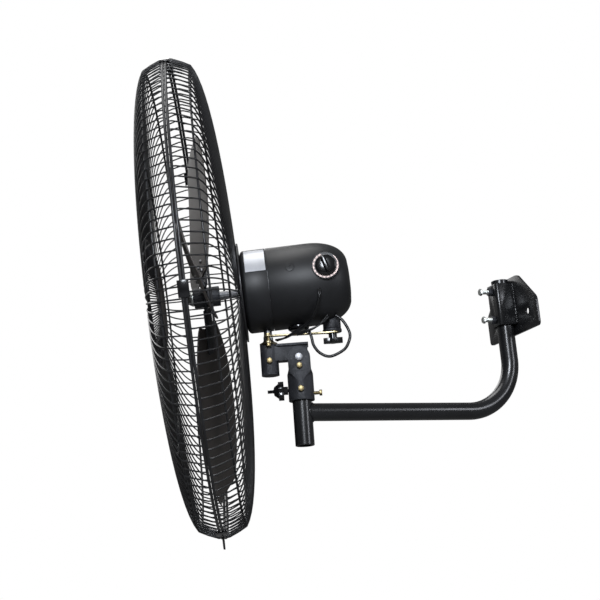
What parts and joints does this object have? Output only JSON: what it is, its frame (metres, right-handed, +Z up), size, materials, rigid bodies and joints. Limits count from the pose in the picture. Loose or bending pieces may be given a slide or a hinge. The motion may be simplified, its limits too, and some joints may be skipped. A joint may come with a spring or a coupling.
{
  "type": "wall mounted fan",
  "caption": "Industrial wall fan: wall plate with clamped sleeve, bent tube arm, swivelling and tilting neck, oscillating motor head with wire guard and metal blades",
  "frame": {"origin": "back face of the wall plate, level with the middle of the sleeve", "axes": "+X into the wall, +Z up, the fan blows towards -X"},
  "size_m": [0.7504, 0.7559, 0.8461],
  "materials": {
    "black_paint": "satin black powder coat",
    "cast_metal": "rough dark grey casting",
    "motor_paint": "satin black paint on a casting",
    "zinc": "zinc plated",
    "label_foil": "blank satin foil",
    "brass": "yellow passivated or brass, dull",
    "yellow_zinc": "yellow zinc",
    "steel": "bare steel",
    "blade_metal": "brown-grey painted sheet",
    "black_plastic": "gloss black plastic",
    "dial_print": "printed scale ring",
    "copper": "copper winding, and the cage of the rotor",
    "capacitor_can": "plain can",
    "cable_jacket": "black cable jacket"
  },
  "bodies": {
    "wall_bracket": {"wall_plate": "black_paint", "sleeve_channel": "black_paint", "upper_clamp_nut": "cast_metal", "lower_clamp_nut": "cast_metal"},
    "upper_bolt": {"upper_clamp_bolt": "zinc"},
    "lower_bolt": {"lower_clamp_bolt": "zinc"},
    "arm": {"arm_tube": "black_paint", "stub_tube": "black_paint"},
    "neck": {"neck_socket": "cast_metal", "socket_front_screw": "brass", "socket_rear_screw": "brass", "tilt_lock_screw": "brass", "tilt_pin": "steel", "tilt_pin_nut": "steel"},
    "hand_knob": {"hand_knob": "black_plastic"},
    "tilt_bracket": {"tilt_bracket": "cast_metal", "pivot_stop_screw": "brass", "link_anchor": "yellow_zinc", "anchor_pin": "brass"},
    "link_rod": {"link_rod": "yellow_zinc"},
    "crank": {"crank_disc": "cast_metal"},
    "wing_knob": {"wing_knob": "black_plastic"},
    "speed_knob": {"speed_knob": "black_plastic"},
    "rotor": {"motor_shaft": "steel", "rotor_core": "copper", "fan_hub": "cast_metal", "spinner": "zinc", "rear_hub_collar": "cast_metal", "blade_spider": "cast_metal", "blade_1": "blade_metal", "blade_2": "blade_metal", "blade_3": "blade_metal"},
    "head": {"pivot_shaft": "steel", "pivot_nut": "zinc", "pivot_bush": "cast_metal", "gear_case": "cast_metal", "motor_front_cover": "motor_paint", "motor_rear_cover": "motor_paint", "stator_core": "steel", "stator_winding": "copper", "front_bearing": "steel", "rear_bearing": "steel", "dial_plate": "dial_print", "speed_switch": "black_plastic", "rear_guard": "black_paint", "front_guard": "black_paint", "guard_centre_plate": "blade_metal", "guard_mount_plate": "black_paint", "rim_top_tab": "black_paint", "rim_bottom_tab": "black_paint", "rim_clip_1": "black_plastic", "rim_clip_2": "black_plastic", "rim_clip_3": "black_plastic", "rim_clip_4": "black_plastic", "rim_clip_5": "black_plastic", "blank_label": "label_foil", "terminal_cap": "cast_metal", "run_capacitor": "capacitor_can", "wiring_loop": "cable_jacket", "motor_leads": "cable_jacket"}
  },
  "joints": [
    {"name": "arm_swing", "type": "hinge", "parent": "wall_bracket", "child": "arm", "pos_m": [-0.0205, 0, 0], "axis": [0, 0, 1], "range_deg": [-60, 60]},
    {"name": "upper_bolt_turn", "type": "hinge", "parent": "wall_bracket", "child": "upper_bolt", "pos_m": [-0.046, 0, 0.025], "axis": [-1, 0, 0], "range_deg": [-180, 180]},
    {"name": "lower_bolt_turn", "type": "hinge", "parent": "wall_bracket", "child": "lower_bolt", "pos_m": [-0.046, 0, -0.025], "axis": [-1, 0, 0], "range_deg": [-180, 180]},
    {"name": "neck_swivel", "type": "hinge", "parent": "arm", "child": "neck", "pos_m": [-0.41788, 0, -0.10608], "axis": [0.0349, 0, 0.9994], "range_deg": [-23, 67]},
    {"name": "hand_knob_turn", "type": "hinge", "parent": "neck", "child": "hand_knob", "pos_m": [-0.44627, 0.01105, -0.13511], "axis": [-0.9266, 0.3746, 0.0324], "range_deg": [-180, 180]},
    {"name": "tilt", "type": "hinge", "parent": "neck", "child": "tilt_bracket", "pos_m": [-0.41712, 0, -0.0841], "axis": [0.3744, 0.9272, -0.0131], "range_deg": [-12, 18]},
    {"name": "oscillation", "type": "hinge", "parent": "tilt_bracket", "child": "head", "pos_m": [-0.46161, 0.01836, -0.05653], "axis": [0.0349, 0, 0.9994], "range_deg": [-38, 38]},
    {"name": "crank_turn", "type": "hinge", "parent": "head", "child": "crank", "pos_m": [-0.36082, -0.0221, -0.03943], "axis": [0.0349, 0, 0.9994], "range_deg": [-50, 50]},
    {"name": "wing_knob_turn", "type": "hinge", "parent": "crank", "child": "wing_knob", "pos_m": [-0.36522, -0.0323, -0.04728], "axis": [0.0349, 0, 0.9994], "range_deg": [-90, 90]},
    {"name": "link_rod_swing", "type": "hinge", "parent": "tilt_bracket", "child": "link_rod", "pos_m": [-0.46783, 0.00167, -0.0415], "axis": [0.0349, 0, 0.9994], "range_deg": [-39, 39]},
    {"name": "speed_knob_turn", "type": "hinge", "parent": "head", "child": "speed_knob", "pos_m": [-0.38807, -0.0859, 0.05542], "axis": [-0.3744, -0.9272, 0.0131], "range_deg": [-120, 120]},
    {"name": "fan_spin", "type": "hinge", "parent": "head", "child": "rotor", "pos_m": [-0.56637, 0.06197, 0.03709], "axis": [0.9272, -0.3741, 0.02], "continuous": true}
  ],
  "couplings": [
    {"joint": "crank_turn", "follows": "oscillation", "ratio": -1.3},
    {"joint": "link_rod_swing", "follows": "oscillation", "ratio": 1}
  ]
}
